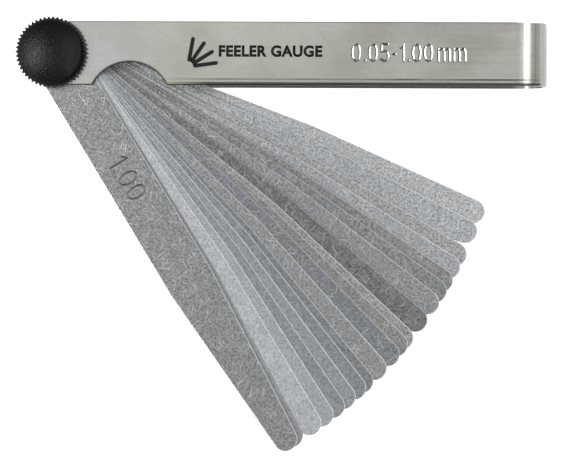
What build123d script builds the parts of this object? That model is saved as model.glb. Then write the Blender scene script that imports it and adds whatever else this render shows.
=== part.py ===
from build123d import *
from math import asin, atan2, cos, degrees, hypot, sin
import os

# Feeler gauge lying on its back. The pivot axis is Z. Z = 0 is the face of the bolt
# head, +X runs along the sheath to its closed end, and the fan of blades hangs to -Y.
# All sizes are millimetres.

# Blades
blade_width = 10.0
blade_reach = 95.0           # pivot axis to tip
tip_radius = 2.5
taper_start = 55.0           # distance from the pivot where the sides start to close in
pivot_hole = 5.1
thickness_step = 0.05
graded_blades = 19           # 0.05 to 0.95; one more blade is 1.00 thick
front_thickness = 1.00
blade_gap = 0.02             # air between neighbours while the knob is slack
edge_break = 0.16            # widest bevel on a blade's edges
edge_break_slope = 0.23      # depth of that bevel as a share of its width, as if stoned

# Angle of each blade below the sheath, in degrees, from the back blade (0.95) to the
# 0.05 blade, then the front blade (1.00).
fan_angles = [20.3, 23.0, 26.3, 28.1, 30.1, 31.6, 33.4, 36.1, 39.0, 40.1,
              41.7, 44.1, 46.5, 47.7, 49.5, 51.3, 53.1, 55.0, 57.8, 58.6]

# Numbers engraved on the blades, as single strokes with sloping walls
number_height = 4.0
number_stroke = 0.36
number_start = 25.3          # distance from the pivot to the first digit
number_spacing = 1.06
engrave_depth = 0.06

# Size range stamped in the sheath
stamp_text = "0.05-1.00 mm"
stamp_height = 3.4
stamp_stroke = 0.52
stamp_squeeze = 0.82         # the stamped signs are narrower than the engraved ones
stamp_spacing = 0.90
stamp_depth = 0.08
stamp_start = 61.5           # distance from the pivot to the first digit
stamp_middle = 0.25          # height of the line's middle above the pivot axis

# Sheath
sheath_width = 13.0
sheath_end = 101.5           # pivot axis to the outside of the closed end
plate = 0.8
bend_radius = 5.0            # outside radius of the two bends at the closed end
plate_clearance = 0.1
notch_centre = 15.9
notch_chord = 15.2
notch_depth = 4.65
plate_edge_break = 0.15
neck_hole = 5.8              # square hole in the back plate
front_hole = 5.2

# Pivot bolt
head_diameter = 9.0
head_height = 1.2
neck_square = 5.6
neck_height = 0.7
shank_diameter = 5.0
shank_length_in_knob = 3.0

# Knob
knob_diameter = 14.7         # over the knurl's points
knurl_root = 13.3
core_diameter = 13.4         # the round body fills the very bottom of the grooves
knurl_points = 50
knurl_row_height = 1.5
dome_rim_diameter = 12.7
rim_height = 3.9
knob_height = 5.2
knob_gap = 0.1               # slack between the knob and the front plate
bore_diameter = 5.1
bore_depth = 3.6

thicknesses = [round((graded_blades - i) * thickness_step, 2) for i in range(graded_blades)]
thicknesses.append(front_thickness)

back_plate_bottom = head_height
back_plate_top = back_plate_bottom + plate
stack_bottom = back_plate_top + plate_clearance
stack_height = sum(thicknesses) + blade_gap * (len(thicknesses) - 1)
front_plate_bottom = stack_bottom + stack_height + plate_clearance
front_plate_top = front_plate_bottom + plate


# ---------------------------------------------------------------- engraved numbers
# Each sign is a set of strokes in a cell 1 high, with the room it takes along the line.
letter_strokes = {
    "0": [[(0.27, 1), (0.08, 0.9), (0, 0.65), (0, 0.35), (0.08, 0.1), (0.27, 0),
           (0.46, 0.1), (0.54, 0.35), (0.54, 0.65), (0.46, 0.9), (0.27, 1)]],
    "1": [[(0.05, 0.78), (0.28, 1), (0.28, 0)]],
    "2": [[(0, 0.78), (0.11, 0.97), (0.4, 0.97), (0.54, 0.75), (0.48, 0.5), (0, 0), (0.54, 0)]],
    "3": [[(0, 0.9), (0.22, 1), (0.46, 0.92), (0.51, 0.72), (0.4, 0.54), (0.22, 0.52)],
          [(0.4, 0.54), (0.54, 0.32), (0.46, 0.07), (0.22, 0), (0, 0.1)]],
    "4": [[(0.4, 0), (0.4, 1), (0, 0.3), (0.54, 0.3)]],
    "5": [[(0.51, 1), (0.08, 1), (0.04, 0.55), (0.27, 0.62), (0.48, 0.5), (0.54, 0.28),
           (0.44, 0.05), (0.22, 0), (0, 0.1)]],
    "6": [[(0.46, 0.95), (0.22, 0.9), (0.04, 0.6), (0, 0.3), (0.08, 0.06), (0.27, 0),
           (0.47, 0.08), (0.54, 0.3), (0.47, 0.52), (0.27, 0.6), (0.03, 0.42)]],
    "7": [[(0, 1), (0.54, 1), (0.19, 0)]],
    "8": [[(0.27, 1), (0.08, 0.92), (0.05, 0.7), (0.27, 0.54), (0.51, 0.35), (0.48, 0.08),
           (0.27, 0), (0.05, 0.08), (0.03, 0.35), (0.27, 0.54), (0.48, 0.7), (0.46, 0.92),
           (0.27, 1)]],
    "9": [[(0.51, 0.58), (0.27, 0.4), (0.06, 0.48), (0, 0.7), (0.06, 0.92), (0.27, 1),
           (0.46, 0.94), (0.54, 0.7), (0.5, 0.4), (0.32, 0.1), (0.08, 0.05)]],
    ".": [[(0.05, 0.03), (0.1, 0.03)]],
    "-": [[(0.04, 0.4), (0.2, 0.4)]],
    "m": [[(0, 0), (0, 0.74)], [(0, 0.6), (0.16, 0.74), (0.34, 0.71), (0.41, 0.57), (0.41, 0)],
          [(0.41, 0.6), (0.57, 0.74), (0.75, 0.71), (0.82, 0.57), (0.82, 0)]],
    " ": [],
}
letter_room = {".": 0.35, "-": 0.49, "m": 1.03, "1": 0.51, " ": 0.16}
digit_room = 0.78


def stroke_cutter(start, end, width, depth, top):
    """A round-ended cutter from start to end, for a shallow groove that is nearly a V."""
    middle = ((start[0] + end[0]) / 2, (start[1] + end[1]) / 2)
    run = hypot(end[0] - start[0], end[1] - start[1])
    turn = degrees(atan2(end[1] - start[1], end[0] - start[0]))
    slope = degrees(atan2(width * 0.46, depth))
    groove = Rot(180, 0, 0) * extrude(SlotCenterToCenter(run, width), depth, taper=slope)
    return Pos(middle[0], middle[1], top) * Rot(0, 0, turn) * groove


def text_cutters(text, height, squeeze, spacing, width, depth, start, middle, top):
    """Groove cutters for a line of text that starts at X = start, centred on Y = middle."""
    cutters = []
    x = start
    for sign in text:
        for chain in letter_strokes[sign]:
            points = [(x + u * height * squeeze, middle + (v - 0.5) * height) for u, v in chain]
            for a, b in zip(points, points[1:]):
                cutters.append(stroke_cutter(a, b, width, depth, top))
        x += letter_room.get(sign, digit_room) * height * spacing
    return cutters


# ---------------------------------------------------------------- blades
def blade_outline():
    """A blade seen from the front: round pivot end, straight sides, taper, round tip."""
    half = blade_width / 2
    tip_centre = blade_reach - tip_radius
    run = tip_centre - taper_start
    lean = atan2(half, run) - asin(tip_radius / hypot(half, run))
    touch = (tip_centre + tip_radius * sin(lean), tip_radius * cos(lean))
    upper = Polyline((0, half), (taper_start, half), touch)
    lower = Polyline((touch[0], -touch[1]), (taper_start, -half), (0, -half))
    tip = ThreePointArc(touch, (blade_reach, 0), (touch[0], -touch[1]))
    heel = ThreePointArc((0, -half), (-half, 0), (0, half))
    return make_face(upper.edges() + lower.edges() + tip.edges() + heel.edges()) - Circle(
        pivot_hole / 2)


outline = blade_outline()


def blade(thickness, floor, angle):
    """One blade with its bottom face at Z = floor, turned down from the sheath."""
    solid = extrude(outline, thickness).clean()
    bevel = min(edge_break, thickness * 0.6)
    for end in (-1, 0):
        face = solid.faces().filter_by(Axis.Z).sort_by(Axis.Z)[end]
        solid = chamfer(face.outer_wire().edges(), bevel, bevel * edge_break_slope, reference=face)
    depth = min(engrave_depth, thickness / 4)
    number = f"{thickness:.2f}"
    solid -= text_cutters(number, number_height, 1, number_spacing, number_stroke, depth,
                          number_start, 0, thickness)
    return Pos(0, 0, floor) * Rot(0, 0, -angle) * solid


# ---------------------------------------------------------------- sheath
def sheath():
    """A strip folded twice at the closed end, with round ends about the pivot."""
    depth = front_plate_top - back_plate_bottom
    middle = (front_plate_top + back_plate_bottom) / 2
    length = sheath_end + sheath_width
    outer = Pos(sheath_end - length / 2, middle) * RectangleRounded(length, depth, bend_radius)
    inner = Pos(sheath_end - plate - length / 2, middle) * RectangleRounded(
        length, depth - 2 * plate, bend_radius - plate)
    section = outer - inner
    strip = extrude(Plane.XZ * section, sheath_width / 2, both=True)
    plan = Circle(sheath_width / 2)
    plan += Pos(sheath_end / 2 + 1, 0) * Rectangle(sheath_end + 2, sheath_width)
    body = strip & extrude(plan, front_plate_top + 1)

    body -= extrude(Rectangle(neck_hole, neck_hole), back_plate_top + 0.01)
    body -= Pos(0, 0, front_plate_bottom - 0.01) * extrude(Circle(front_hole / 2), plate + 1)

    notch_radius = ((notch_chord / 2) ** 2 + notch_depth ** 2) / (2 * notch_depth)
    notch_y = -sheath_width / 2 + notch_depth - notch_radius
    body -= Pos(notch_centre, notch_y, front_plate_bottom - 0.01) * extrude(
        Circle(notch_radius), plate + 1)

    front_face = body.faces().filter_by(Axis.Z).sort_by(Axis.Z)[-1]
    rim = [e for e in front_face.outer_wire().edges() if e.center().X < sheath_end - bend_radius - 0.5]
    body = chamfer(rim, plate_edge_break)
    return body - text_cutters(stamp_text, stamp_height, stamp_squeeze, stamp_spacing, stamp_stroke,
                               stamp_depth, stamp_start, stamp_middle, front_plate_top)


# ---------------------------------------------------------------- pivot bolt
def pivot_bolt():
    """Flat head, square neck in the back plate and a plain shank up into the knob."""
    head = extrude(Circle(head_diameter / 2), head_height)
    head = chamfer(head.faces().sort_by(Axis.Z)[0].edges(), 0.3)
    neck = Pos(0, 0, head_height) * extrude(Rectangle(neck_square, neck_square), neck_height)
    shank_top = front_plate_top + knob_gap + shank_length_in_knob
    shank = extrude(Circle(shank_diameter / 2), shank_top)
    shank = chamfer(shank.faces().sort_by(Axis.Z)[-1].edges(), 0.5)
    return head + neck + shank


# ---------------------------------------------------------------- knob
def knurl_row(floor):
    """One row of pointed teeth, bevelled top and bottom so two rows read as diamonds."""
    step = 360 / knurl_points
    points = []
    for i in range(knurl_points):
        for radius, offset in ((knob_diameter / 2, 0), (knurl_root / 2, step / 2)):
            spot = Vector(radius, 0).rotate(Axis.Z, i * step + offset)
            points.append((spot.X, spot.Y))
    teeth = extrude(Polygon(*points, align=None), knurl_row_height)
    slope = (knob_diameter - knurl_root) / 2
    half_height = knurl_row_height / 2
    rim = [(0, 0), (knurl_root / 2, 0), (knurl_root / 2 + slope, half_height),
           (knurl_root / 2, knurl_row_height), (0, knurl_row_height)]
    envelope = revolve(Plane.XZ * make_face(Polyline(*rim, close=True)), Axis.Z)
    return Pos(0, 0, floor) * (teeth & envelope)


def knob():
    """Black thumb nut: two rows of knurl, a bevelled shoulder and a domed top."""
    rim = dome_rim_diameter / 2
    root = core_diameter / 2
    base = 0.2
    side = Polyline((0, knob_height), (0, 0), (root - base, 0), (root, base),
                    (root, base + 2 * knurl_row_height), (rim, rim_height))
    rise = knob_height - rim_height
    ball = (rim ** 2 + rise ** 2) / (2 * rise)
    half_angle = asin(rim / ball) / 2
    crown = (ball * sin(half_angle), knob_height - ball * (1 - cos(half_angle)))
    dome = ThreePointArc((rim, rim_height), crown, (0, knob_height))
    body = revolve(Plane.XZ * make_face(side.edges() + dome.edges()), Axis.Z)
    body += knurl_row(base)
    body += knurl_row(base + knurl_row_height)
    body -= extrude(Circle(bore_diameter / 2), bore_depth)
    return Pos(0, 0, front_plate_top + knob_gap) * body


# ---------------------------------------------------------------- write the pieces
export_step(sheath(), "parts/sheath.step")
export_step(pivot_bolt(), "parts/pivot_bolt.step")
export_step(knob(), "parts/knob.step")

floor = stack_bottom
for thickness, angle in zip(thicknesses, fan_angles):
    name = "blade_" + f"{thickness:.2f}".replace(".", "_")
    export_step(blade(thickness, floor, angle), f"parts/{name}.step")
    floor += thickness + blade_gap
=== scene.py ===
import math

import bmesh
import bpy
from mathutils import Matrix, Vector


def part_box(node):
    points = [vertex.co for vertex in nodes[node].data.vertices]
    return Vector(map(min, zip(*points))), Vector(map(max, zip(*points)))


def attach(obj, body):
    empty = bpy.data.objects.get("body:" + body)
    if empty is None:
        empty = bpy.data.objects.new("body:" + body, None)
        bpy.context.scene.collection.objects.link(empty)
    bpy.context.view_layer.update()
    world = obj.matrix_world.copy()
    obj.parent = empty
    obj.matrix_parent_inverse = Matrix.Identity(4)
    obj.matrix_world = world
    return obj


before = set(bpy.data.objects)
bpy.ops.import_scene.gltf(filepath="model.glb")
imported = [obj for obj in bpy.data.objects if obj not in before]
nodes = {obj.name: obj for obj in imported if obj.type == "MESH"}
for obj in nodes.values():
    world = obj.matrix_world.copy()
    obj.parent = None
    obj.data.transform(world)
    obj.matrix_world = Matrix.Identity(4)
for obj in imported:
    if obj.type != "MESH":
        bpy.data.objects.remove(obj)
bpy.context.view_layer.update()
MM = 0.001

# ---------------------------------------------------------------- helpers


def link(mesh, name):
    """A new object from a mesh, at the origin."""
    piece = bpy.data.objects.new(name, mesh)
    bpy.context.scene.collection.objects.link(piece)
    return piece


def new_group(name, inputs, outputs):
    """A shader node group with named inputs (name, kind, default) and outputs (name, kind)."""
    group = bpy.data.node_groups.new(name, "ShaderNodeTree")
    for label, kind, value in inputs:
        socket = group.interface.new_socket(label, in_out="INPUT", socket_type=kind)
        socket.default_value = value
    for label, kind in outputs:
        group.interface.new_socket(label, in_out="OUTPUT", socket_type=kind)
    return group


FLOAT = "NodeSocketFloat"
VECTOR = "NodeSocketVector"


class Net:
    """A short way to add and join nodes in one tree."""

    def __init__(self, tree):
        self.tree = tree

    def node(self, kind, **settings):
        """Adds a node with the given settings."""
        made = self.tree.nodes.new(kind)
        for key, value in settings.items():
            setattr(made, key, value)
        return made

    def put(self, socket, value):
        """Joins a socket to another one, or sets it to a constant."""
        if isinstance(value, bpy.types.NodeSocket):
            self.tree.links.new(value, socket)
        else:
            socket.default_value = value

    def math(self, operation, a, b=0.0):
        """One step of arithmetic."""
        made = self.node("ShaderNodeMath", operation=operation)
        self.put(made.inputs[0], a)
        self.put(made.inputs[1], b)
        return made.outputs[0]

    def spread(self, value, low, high, to_low, to_high):
        """Maps low..high to to_low..to_high, held at both ends."""
        made = self.node("ShaderNodeMapRange", clamp=True)
        for socket, amount in zip(made.inputs[:5], (value, low, high, to_low, to_high)):
            self.put(socket, amount)
        return made.outputs[0]

    def mix(self, factor, a, b):
        """Colour a at 0 to colour b at 1."""
        made = self.node("ShaderNodeMix", data_type="RGBA")
        self.put(made.inputs[0], factor)
        self.put(made.inputs[6], a)
        self.put(made.inputs[7], b)
        return made.outputs[2]

    def noise(self, vector, scale, detail=3.0, roughness=0.55, distortion=0.0):
        """Soft random blotches around 0.5."""
        made = self.node("ShaderNodeTexNoise")
        self.put(made.inputs["Vector"], vector)
        self.put(made.inputs["Scale"], scale)
        self.put(made.inputs["Detail"], detail)
        self.put(made.inputs["Roughness"], roughness)
        self.put(made.inputs["Distortion"], distortion)
        return made.outputs[0]

    def stretch(self, vector, scale, turn=(0.0, 0.0, 0.0), shift=(0.0, 0.0, 0.0)):
        """The vector turned first, then scaled, so a stretch can run at any angle."""
        turned = self.node("ShaderNodeVectorRotate", rotation_type="EULER_XYZ")
        self.put(turned.inputs["Vector"], vector)
        turned.inputs["Rotation"].default_value = turn
        made = self.node("ShaderNodeMapping")
        self.put(made.inputs["Vector"], turned.outputs[0])
        made.inputs["Location"].default_value = shift
        made.inputs["Scale"].default_value = scale
        return made.outputs[0]


# ---------------------------------------------------------------- shared shader groups


def make_brushed():
    """Fine lines along local X, and slow blotches: a height, a tone and the blotches."""
    group = new_group("brushed_lines",
                      [("Vector", VECTOR, (0, 0, 0)), ("Fineness", FLOAT, 1.0)],
                      [("Height", FLOAT), ("Tone", FLOAT), ("Blotch", FLOAT)])
    net = Net(group)
    ins = net.node("NodeGroupInput")
    outs = net.node("NodeGroupOutput")
    fine = net.noise(net.stretch(ins.outputs[0], (60.0, 9000.0, 9000.0)), ins.outputs[1], 4.0, 0.7)
    coarse = net.noise(net.stretch(ins.outputs[0], (25.0, 2200.0, 2200.0)), ins.outputs[1], 3.0)
    blotch = net.noise(ins.outputs[0], 90.0, 2.0)
    height = net.math("ADD", net.math("MULTIPLY", fine, 0.6), net.math("MULTIPLY", coarse, 0.4))
    net.put(outs.inputs[0], height)
    net.put(outs.inputs[1], coarse)
    net.put(outs.inputs[2], blotch)
    return group


def make_scratches():
    """Straight scratches at many angles: a mask of bright ones and one of dull ones."""
    group = new_group("random_scratches",
                      [("Vector", VECTOR, (0, 0, 0)), ("Amount", FLOAT, 0.5), ("Seed", FLOAT, 0.0)],
                      [("Bright", FLOAT), ("Dull", FLOAT)])
    net = Net(group)
    ins = net.node("NodeGroupInput")
    outs = net.node("NodeGroupOutput")
    totals = [None, None]
    for number, angle in enumerate((9, 33, 52, 74, 101, 118, 139, 166)):
        moved = net.node("ShaderNodeVectorMath", operation="ADD")
        net.put(moved.inputs[0], ins.outputs[0])
        offset = net.node("ShaderNodeCombineXYZ")
        net.put(offset.inputs[0], net.math("MULTIPLY", ins.outputs[2], 0.37 + 0.11 * number))
        net.put(offset.inputs[1], net.math("MULTIPLY", ins.outputs[2], 0.21 + 0.07 * number))
        net.put(moved.inputs[1], offset.outputs[0])
        line = net.stretch(moved.outputs[0], (230.0, 7500.0, 1.0), (0, 0, math.radians(angle)),
                           (number * 3.7, number * 1.9, 0.0))
        peak = net.noise(line, 1.0, 0.0, 0.0)
        cut = net.spread(peak, 0.73, 0.82, 0.0, 1.0)
        side = number % 2
        totals[side] = cut if totals[side] is None else net.math("MAXIMUM", totals[side], cut)
    for side in (0, 1):
        net.put(outs.inputs[side], net.math("MULTIPLY", totals[side], ins.outputs[1]))
    return group


def make_cut_edge():
    """How far a point faces away from straight up or down, as on a sheared or stoned edge."""
    group = new_group("cut_edge", [("Low", FLOAT, 0.05), ("High", FLOAT, 0.3)], [("Mask", FLOAT)])
    net = Net(group)
    ins = net.node("NodeGroupInput")
    outs = net.node("NodeGroupOutput")
    facing = net.node("ShaderNodeSeparateXYZ")
    net.put(facing.inputs[0], net.node("ShaderNodeTexCoord").outputs["Normal"])
    lean = net.math("SUBTRACT", 1.0, net.math("ABSOLUTE", facing.outputs[2]))
    made = net.node("ShaderNodeMapRange", clamp=True)
    net.put(made.inputs[0], lean)
    net.put(made.inputs[1], ins.outputs[0])
    net.put(made.inputs[2], ins.outputs[1])
    net.put(outs.inputs[0], made.outputs[0])
    return group


brushed_lines = make_brushed()
random_scratches = make_scratches()
cut_edge = make_cut_edge()


def use(net, group, **inputs):
    """Places a shared group in a material with its own values."""
    made = net.node("ShaderNodeGroup")
    made.node_tree = group
    for key, value in inputs.items():
        net.put(made.inputs[key], value)
    return made.outputs


def start_material(name):
    """A new material with one Principled surface joined to its output."""
    material = bpy.data.materials.new(name)
    material.use_nodes = True
    tree = material.node_tree
    tree.nodes.clear()
    net = Net(tree)
    surface = net.node("ShaderNodeBsdfPrincipled")
    out = net.node("ShaderNodeOutputMaterial")
    tree.links.new(surface.outputs[0], out.inputs[0])
    return material, net, surface


def object_space(net):
    """Places in the piece's own space, in metres."""
    return net.node("ShaderNodeTexCoord").outputs["Object"]


def add_bump(net, surface, height, strength, distance):
    """Lets a height disturb the surface's normal."""
    bump = net.node("ShaderNodeBump")
    bump.inputs["Strength"].default_value = strength
    bump.inputs["Distance"].default_value = distance
    net.put(bump.inputs["Height"], height)
    net.put(surface.inputs["Normal"], bump.outputs[0])


# ---------------------------------------------------------------- materials


# Places on the sheath, in metres: the arc of the thumb notch, the underside of the front plate,
# the painted dark crease line above its lower edge, where the flat part ends and where the fold shows.
NOTCH_CENTRE = (0.0159, -0.010386)
NOTCH_RADIUS = 0.008536
FRONT_PLATE_Z = 0.0120
CREASE_SHADE_Y = -0.0053
FLAT_END_X = 0.0955
FOLD_X = 0.0990


def sheath_steel():
    """Brushed stainless sheet: lines along the sheath, faint warm blotches, dull sheared edges."""
    material, net, surface = start_material("sheath_steel")
    place = object_space(net)
    lines = use(net, brushed_lines, Vector=place, Fineness=1.0)
    axes = net.node("ShaderNodeSeparateXYZ")
    net.put(axes.inputs[0], place)
    x, y, z = axes.outputs[0], axes.outputs[1], axes.outputs[2]
    grain = net.noise(place, 1500.0, 2.0, 0.6)
    cool = net.math("MULTIPLY", net.spread(x, 0.016, 0.024, 1.0, 0.0),
                    net.spread(lines["Blotch"], 0.4, 0.6, 0.4, 1.0))
    warm = net.mix(net.spread(lines["Blotch"], 0.35, 0.65, 0.0, 1.0),
                   (0.60, 0.60, 0.525, 1.0), (0.725, 0.73, 0.665, 1.0))
    base = net.mix(cool, warm, (0.68, 0.69, 0.695, 1.0))
    tone = net.mix(net.spread(lines["Tone"], 0.3, 0.7, 0.0, 0.2), base, (0.75, 0.75, 0.71, 1.0))
    speckled = net.mix(net.spread(grain, 0.35, 0.65, 0.0, 0.12), tone, (0.36, 0.36, 0.34, 1.0))

    # Painted shade: a dark band on the rolled-over lower edge, and a fine dark crease line above it.
    front = net.spread(z, FRONT_PLATE_Z, FRONT_PLATE_Z + 0.0005, 0.0, 1.0)
    past_notch = net.spread(x, 0.020, 0.032, 0.0, 1.0)
    rolled = net.spread(y, -0.00605, -0.00575, 1.0, 0.0)
    crease_line_painted_shade = net.spread(net.math("ABSOLUTE", net.math("ADD", y, -CREASE_SHADE_Y)), 0.0001, 0.00024, 0.9, 0.0)
    crease_line_painted_shade = net.math("MULTIPLY", crease_line_painted_shade, net.spread(lines["Blotch"], 0.4, 0.6, 0.5, 1.0))
    lower_rim_painted_shade = net.math("MULTIPLY", net.math("MAXIMUM", rolled, crease_line_painted_shade), past_notch)

    # The thumb notch is an arc whose punched rim is rolled over too; painted shade runs along it.
    from_x = net.math("ADD", x, -NOTCH_CENTRE[0])
    from_y = net.math("ADD", y, -NOTCH_CENTRE[1])
    reach = net.math("SQRT", net.math("ADD", net.math("MULTIPLY", from_x, from_x),
                                      net.math("MULTIPLY", from_y, from_y)))
    notch_rim_painted_shade = net.spread(reach, NOTCH_RADIUS + 0.00015, NOTCH_RADIUS + 0.00050, 0.85, 0.0)
    # Both painted shades go on the front plate only, mixed in near black.
    edge_painted_shade = net.math("MULTIPLY", net.math("MAXIMUM", lower_rim_painted_shade, notch_rim_painted_shade), front)
    shaded = net.mix(net.math("MULTIPLY", edge_painted_shade, 0.9), speckled, (0.045, 0.047, 0.047, 1.0))

    # Past the bend the closed end is duller and painted darker as shade, and a fine painted dark line shows
    # where it starts.
    closed_end_painted_shade = net.spread(x, FOLD_X, FOLD_X + 0.0014, 0.0, 0.78)
    fold_line_painted_shade = net.spread(net.math("ABSOLUTE", net.math("ADD", x, -FOLD_X)), 0.00008, 0.0002, 0.45, 0.0)
    end_painted_shade = net.mix(net.math("MAXIMUM", closed_end_painted_shade, fold_line_painted_shade), shaded, (0.20, 0.20, 0.19, 1.0))

    # Painted shade in the stamped grooves, and on the sheared edges, which are also duller.
    flat_part = net.spread(x, FLAT_END_X - 0.001, FLAT_END_X, 1.0, 0.0)
    grooved = net.math("MULTIPLY", use(net, cut_edge, Low=0.03, High=0.045)["Mask"], flat_part)
    grooves_painted_shade = net.mix(grooved, end_painted_shade, (0.20, 0.20, 0.195, 1.0))
    sheared = net.math("MULTIPLY", use(net, cut_edge, Low=0.12, High=0.25)["Mask"], flat_part)
    net.put(surface.inputs["Base Color"], net.mix(sheared, grooves_painted_shade, (0.07, 0.068, 0.065, 1.0)))
    surface.inputs["Metallic"].default_value = 1.0
    softer = net.math("ADD", net.math("MULTIPLY", sheared, 0.25),
                      net.spread(x, FLAT_END_X, FLAT_END_X + 0.001, 0.0, 0.12))
    net.put(surface.inputs["Roughness"],
            net.math("ADD", net.spread(lines["Tone"], 0.3, 0.7, 0.14, 0.19), softer))
    add_bump(net, surface, lines["Height"], strength=0.16, distance=0.00002)
    return material


def shade(tone, amount):
    """A tone made darker or brighter, as a colour."""
    return tuple(min(1.0, amount * c) for c in tone) + (1.0,)


def blade_steel(name, seed, tone, scratched, rough):
    """Ground spring steel: fine grain, random scratches on the thicker blades, painted highlights on edges.
    """
    material, net, surface = start_material(name)
    place = object_space(net)
    marks = use(net, random_scratches, Vector=place, Amount=scratched, Seed=seed)
    moved = net.node("ShaderNodeVectorMath", operation="ADD")
    net.put(moved.inputs[0], place)
    moved.inputs[1].default_value = (seed, 0.7 * seed, 0.0)
    grain = net.noise(moved.outputs[0], 2300.0, 2.0, 0.6)
    patch = net.noise(moved.outputs[0], 170.0, 3.0)
    low = shade(tone, 0.80)
    high = shade(tone, 1.14)
    ground = net.mix(net.spread(patch, 0.3, 0.7, 0.25, 0.75), low, high)
    smear = net.noise(moved.outputs[0], 700.0, 2.0)
    ground = net.mix(net.spread(smear, 0.35, 0.65, 0.0, 0.35), ground, low)
    contrast = 0.35 + 0.6 * scratched
    speckled = net.mix(net.spread(grain, 0.30, 0.70, 0.0, contrast), ground, shade(tone, 1.5))
    speckled = net.mix(net.spread(grain, 0.30, 0.50, 0.5 * contrast, 0.0), speckled, shade(tone, 0.45))
    dulled = net.mix(net.math("MULTIPLY", marks["Dull"], 0.35), speckled, shade(tone, 0.4))
    lit = net.mix(net.math("MULTIPLY", marks["Bright"], 0.55), dulled, (0.80, 0.81, 0.80, 1.0))
    # Painted highlight: the stoned bevel is a little brighter than the face; painted shade on grooves and
    # side walls.
    stoned = use(net, cut_edge, Low=0.006, High=0.02)["Mask"]
    steep_painted_shade = use(net, cut_edge, Low=0.035, High=0.05)["Mask"]
    bevel_painted_highlight = net.mix(stoned, lit, shade(tone, 1.4))
    net.put(surface.inputs["Base Color"], net.mix(steep_painted_shade, bevel_painted_highlight, shade(tone, 0.4)))
    surface.inputs["Metallic"].default_value = 1.0
    worn = net.math("ADD", net.math("MULTIPLY", marks["Bright"], 0.1), net.math("MULTIPLY", stoned, 0.08))
    net.put(surface.inputs["Roughness"],
            net.math("ADD", net.spread(grain, 0.3, 0.7, rough - 0.04, rough + 0.05), worn))
    height = net.math("SUBTRACT", net.math("MULTIPLY", grain, 0.3),
                      net.math("ADD", marks["Bright"], marks["Dull"]))
    add_bump(net, surface, height, strength=0.08 + 0.08 * scratched, distance=0.00003)
    return material


def black_knob():
    """Blackened steel, satin, with fine shallow pits."""
    material, net, surface = start_material("knob_black")
    place = object_space(net)
    pits = net.node("ShaderNodeTexVoronoi")
    net.put(pits.inputs["Vector"], place)
    pits.inputs["Scale"].default_value = 1900.0
    fine = net.noise(place, 2600.0, 3.0, 0.6)
    patch = net.noise(place, 260.0, 2.0)
    depth = net.spread(pits.outputs["Distance"], 0.0, 0.45, 0.0, 1.0)
    axes = net.node("ShaderNodeSeparateXYZ")
    net.put(axes.inputs[0], place)
    radius = net.math("SQRT", net.math("ADD", net.math("MULTIPLY", axes.outputs[0], axes.outputs[0]),
                                       net.math("MULTIPLY", axes.outputs[1], axes.outputs[1])))
    # Painted shade in the step between the dome and the knurl, which is also rougher.
    step = net.math("MULTIPLY", net.spread(radius, 0.0062, 0.0064, 0.0, 1.0),
                    net.spread(radius, 0.0067, 0.0069, 1.0, 0.0))
    black = net.mix(net.spread(fine, 0.4, 0.65, 0.0, 1.0), (0.002, 0.002, 0.002, 1), (0.006, 0.006, 0.006, 1))
    net.put(surface.inputs["Base Color"], net.mix(step, black, (0.0008, 0.0008, 0.0008, 1)))
    net.put(surface.inputs["Roughness"], net.math("ADD", net.spread(patch, 0.3, 0.7, 0.27, 0.40),
                                                  net.math("MULTIPLY", step, 0.55)))
    surface.inputs["Specular IOR Level"].default_value = 0.20
    add_bump(net, surface, net.math("ADD", depth, fine), strength=0.7, distance=0.00006)
    return material


def bolt_steel():
    """Plain turned steel."""
    material, net, surface = start_material("bolt_steel")
    place = object_space(net)
    rings = net.node("ShaderNodeTexWave", wave_type="RINGS", rings_direction="Z")
    net.put(rings.inputs["Vector"], place)
    rings.inputs["Scale"].default_value = 900.0
    rings.inputs["Distortion"].default_value = 1.5
    grain = net.noise(place, 1400.0, 2.0)
    net.put(surface.inputs["Base Color"], net.mix(grain, (0.40, 0.40, 0.41, 1), (0.52, 0.52, 0.52, 1)))
    surface.inputs["Metallic"].default_value = 1.0
    net.put(surface.inputs["Roughness"], net.spread(grain, 0.3, 0.7, 0.28, 0.42))
    add_bump(net, surface, rings.outputs["Fac"], strength=0.15, distance=0.00003)
    return material


def paint(piece, material):
    """Gives a piece one material."""
    piece.data.materials.clear()
    piece.data.materials.append(material)


paint(nodes["sheath"], sheath_steel())
paint(nodes["pivot_bolt"], bolt_steel())
paint(nodes["knob"], black_knob())

# Tone of each blade's steel from 0.05 up to 1.00: brightness, then warm (below 0) to cool (above 0).
blade_tones = [(0.385, 1.5), (0.54, 0.9), (0.445, 1.1), (0.325, 1.6), (0.345, 1.1), (0.29, 1.6), (0.25, 1.2),
               (0.30, 0.8), (0.235, 1.4), (0.265, 0.1), (0.325, 0.7), (0.185, 0.2), (0.29, 0.8), (0.253, 0.6),
               (0.26, -0.2), (0.38, 1.0), (0.36, 0.4), (0.41, 1.1), (0.455, 0.7), (0.27, 0.2)]
# How scratched each blade is: little up to 0.35, and all over from 0.40.
blade_scratches = [0.0, 0.05, 0.1, 0.15, 0.35, 0.35, 0.45] + [0.8] * 13
BLADE_ROUGHNESS = 0.26
BLADE_SEED_STEP = 0.31
TINT = 0.035
blade_names = sorted(name for name in nodes if name.startswith("blade_"))
for number, name in enumerate(blade_names):
    level, cool = blade_tones[number]
    tone = (level * (1.0 - TINT * cool), level, level * (1.0 + TINT * cool))
    paint(nodes[name], blade_steel(name + "_steel", BLADE_SEED_STEP * number, tone,
                                   blade_scratches[number], BLADE_ROUGHNESS))


# ---------------------------------------------------------------- black print on the sheath


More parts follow.
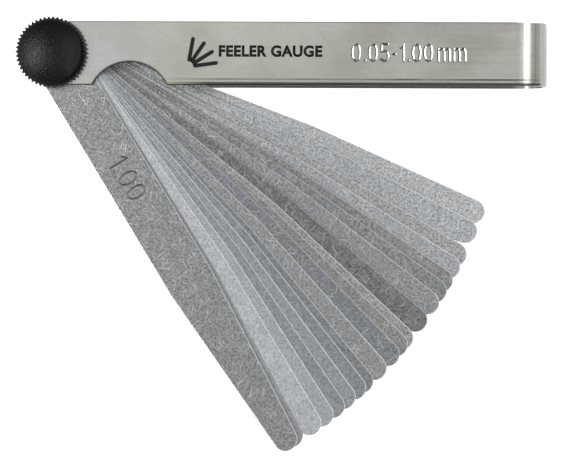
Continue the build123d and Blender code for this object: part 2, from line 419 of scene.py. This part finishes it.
def flat_bar(shape, start, turn, length, width, layer):
    """A round-ended flat bar that runs from start, turned about Z."""
    earlier = set(shape.verts)
    made = bmesh.ops.create_cube(shape, size=1.0)["verts"]
    bmesh.ops.scale(shape, vec=(length, width, layer), verts=made)
    bmesh.ops.translate(shape, vec=(length / 2, 0, layer / 2), verts=made)
    uprights = [edge for edge in shape.edges if edge.verts[0] not in earlier
                and abs(edge.verts[0].co.z - edge.verts[1].co.z) > layer / 2]
    # Just under half the width, so that the two rounded corners of an end do not meet.
    bmesh.ops.bevel(shape, geom=uprights, offset=0.49 * width, affect="EDGES", segments=6,
                    profile=0.5, material=-1)
    made = [vert for vert in shape.verts if vert not in earlier]
    bmesh.ops.rotate(shape, cent=(0, 0, 0), matrix=Matrix.Rotation(turn, 3, "Z"), verts=made)
    bmesh.ops.translate(shape, vec=start, verts=made)


def plain_words(text, left, bottom, length, height):
    """Plain capitals as a flat mesh that fills the given length and height."""
    words = bpy.data.curves.new("words", "FONT")
    words.body = text
    words.size = 3.7 * MM
    words.offset = 0.16 * MM
    words.space_character = 1.07
    words.resolution_u = 6
    holder = bpy.data.objects.new("words", words)
    bpy.context.scene.collection.objects.link(holder)
    bpy.context.view_layer.update()
    flat = bpy.data.meshes.new_from_object(holder)
    bpy.data.objects.remove(holder)
    xs = [v.co.x for v in flat.vertices]
    ys = [v.co.y for v in flat.vertices]
    for v in flat.vertices:
        v.co.x = left + (v.co.x - min(xs)) * length / (max(xs) - min(xs))
        v.co.y = bottom + (v.co.y - min(ys)) * height / (max(ys) - min(ys))
    return flat


def ink():
    """Black print, a little thin in places."""
    material, net, surface = start_material("black_ink")
    place = object_space(net)
    thin = net.spread(net.noise(place, 1700.0, 3.0, 0.7), 0.62, 0.72, 0.0, 0.5)
    net.put(surface.inputs["Base Color"], net.mix(thin, (0.006, 0.006, 0.006, 1), (0.09, 0.09, 0.085, 1)))
    net.put(surface.inputs["Roughness"], net.spread(net.noise(place, 900.0), 0.3, 0.7, 0.45, 0.6))
    surface.inputs["Specular IOR Level"].default_value = 0.2
    return material


def printed_mark():
    """A plain sign for a fan of blades, and the tool's plain name, as a thin layer of ink."""
    layer = 0.008 * MM
    gap = 0.002 * MM
    shape = bmesh.new()
    shape.from_mesh(plain_words("FEELER GAUGE", left=34.2 * MM, bottom=-0.75 * MM,
                                length=21.2 * MM, height=2.4 * MM))
    grown = bmesh.ops.extrude_face_region(shape, geom=list(shape.faces))
    lifted = [part for part in grown["geom"] if isinstance(part, bmesh.types.BMVert)]
    bmesh.ops.translate(shape, vec=(0, 0, layer), verts=lifted)
    hub = Vector((27.9 * MM, -2.8 * MM, 0.0))
    for degrees in (8, 32, 56, 80):
        turn = math.radians(degrees)
        outward = Vector((math.cos(turn), math.sin(turn), 0.0))
        flat_bar(shape, start=hub + outward * 1.05 * MM, turn=turn, length=5.15 * MM,
                 width=0.8 * MM, layer=layer)
    plate_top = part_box("sheath")[1][2]
    bmesh.ops.translate(shape, vec=(0, 0, plate_top + gap), verts=shape.verts)
    bmesh.ops.recalc_face_normals(shape, faces=shape.faces)
    mesh = bpy.data.meshes.new("printed_mark")
    shape.to_mesh(mesh)
    shape.free()
    piece = link(mesh, "printed_mark")
    paint(piece, ink())
    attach(piece, "sheath")


printed_mark()

# ---------------------------------------------------------------- floor, light and camera


def pale_floor():
    """A wide matt floor that glows a little, so shadows on it stay faint."""
    mesh = bpy.data.meshes.new("floor")
    shape = bmesh.new()
    bmesh.ops.create_grid(shape, x_segments=2, y_segments=2, size=1.5)
    shape.to_mesh(mesh)
    shape.free()
    floor = link(mesh, "floor")
    material, net, surface = start_material("floor_white")
    surface.inputs["Base Color"].default_value = (0.95, 0.95, 0.95, 1.0)
    surface.inputs["Roughness"].default_value = 0.9
    surface.inputs["Specular IOR Level"].default_value = 0.1
    surface.inputs["Emission Color"].default_value = (1.0, 1.0, 1.0, 1.0)
    surface.inputs["Emission Strength"].default_value = 0.6
    paint(floor, material)


pale_floor()

# The point between the sheath and the fan that both softboxes face.
middle = Vector((0.047, -0.037, 0.014))


def softbox(name, tilt, width, length, radiance, distance=0.9):
    """A softbox that runs along Y, to one side: tilt from straight up, to +X if positive."""
    angle = math.radians(tilt)
    light = bpy.data.lights.new(name, "AREA")
    light.shape = "RECTANGLE"
    light.size = width
    light.size_y = length
    light.energy = radiance * math.pi * width * length
    lamp = bpy.data.objects.new(name, light)
    bpy.context.scene.collection.objects.link(lamp)
    lamp.location = middle + Vector((math.sin(angle), 0.0, math.cos(angle))) * distance
    lamp.rotation_euler = (0.0, angle, 0.0)


softbox("left_softbox", tilt=-31.0, width=0.16, length=0.5, radiance=18.0)
softbox("right_softbox", tilt=23.5, width=0.36, length=1.1, radiance=2.0)


def grey_room():
    """A room that is grey overhead, lighter to the sides and darker towards +Y and -Y."""
    world = bpy.data.worlds.new("studio")
    bpy.context.scene.world = world
    world.use_nodes = True
    sky = Net(world.node_tree)
    way = sky.node("ShaderNodeSeparateXYZ")
    sky.put(way.inputs[0], sky.node("ShaderNodeTexCoord").outputs["Generated"])
    overhead = sky.spread(way.outputs[2], 0.15, 0.6, 0.95, 0.68)
    side = sky.spread(sky.math("ABSOLUTE", way.outputs[1]), 0.2, 0.6, 1.0, 0.25)
    across = sky.spread(way.outputs[0], -0.03, 0.05, 1.0, 0.60)
    background = world.node_tree.nodes["Background"]
    background.inputs[0].default_value = (1.0, 1.0, 1.0, 1.0)
    sky.put(background.inputs[1], sky.math("MULTIPLY", sky.math("MULTIPLY", overhead, side), across))


def long_lens_camera():
    """A camera almost straight above, far enough away for a nearly flat view."""
    camera_data = bpy.data.cameras.new("camera")
    camera_data.sensor_width = 36.0
    camera_data.lens = 187.08
    camera = bpy.data.objects.new("camera", camera_data)
    bpy.context.scene.collection.objects.link(camera)
    camera.location = (0.06421, -0.03651, 0.61232)
    camera.rotation_euler = tuple(math.radians(a) for a in (-0.016, 1.625, 0.281))
    bpy.context.scene.camera = camera


grey_room()
long_lens_camera()
bpy.context.scene.view_settings.view_transform = "Standard"
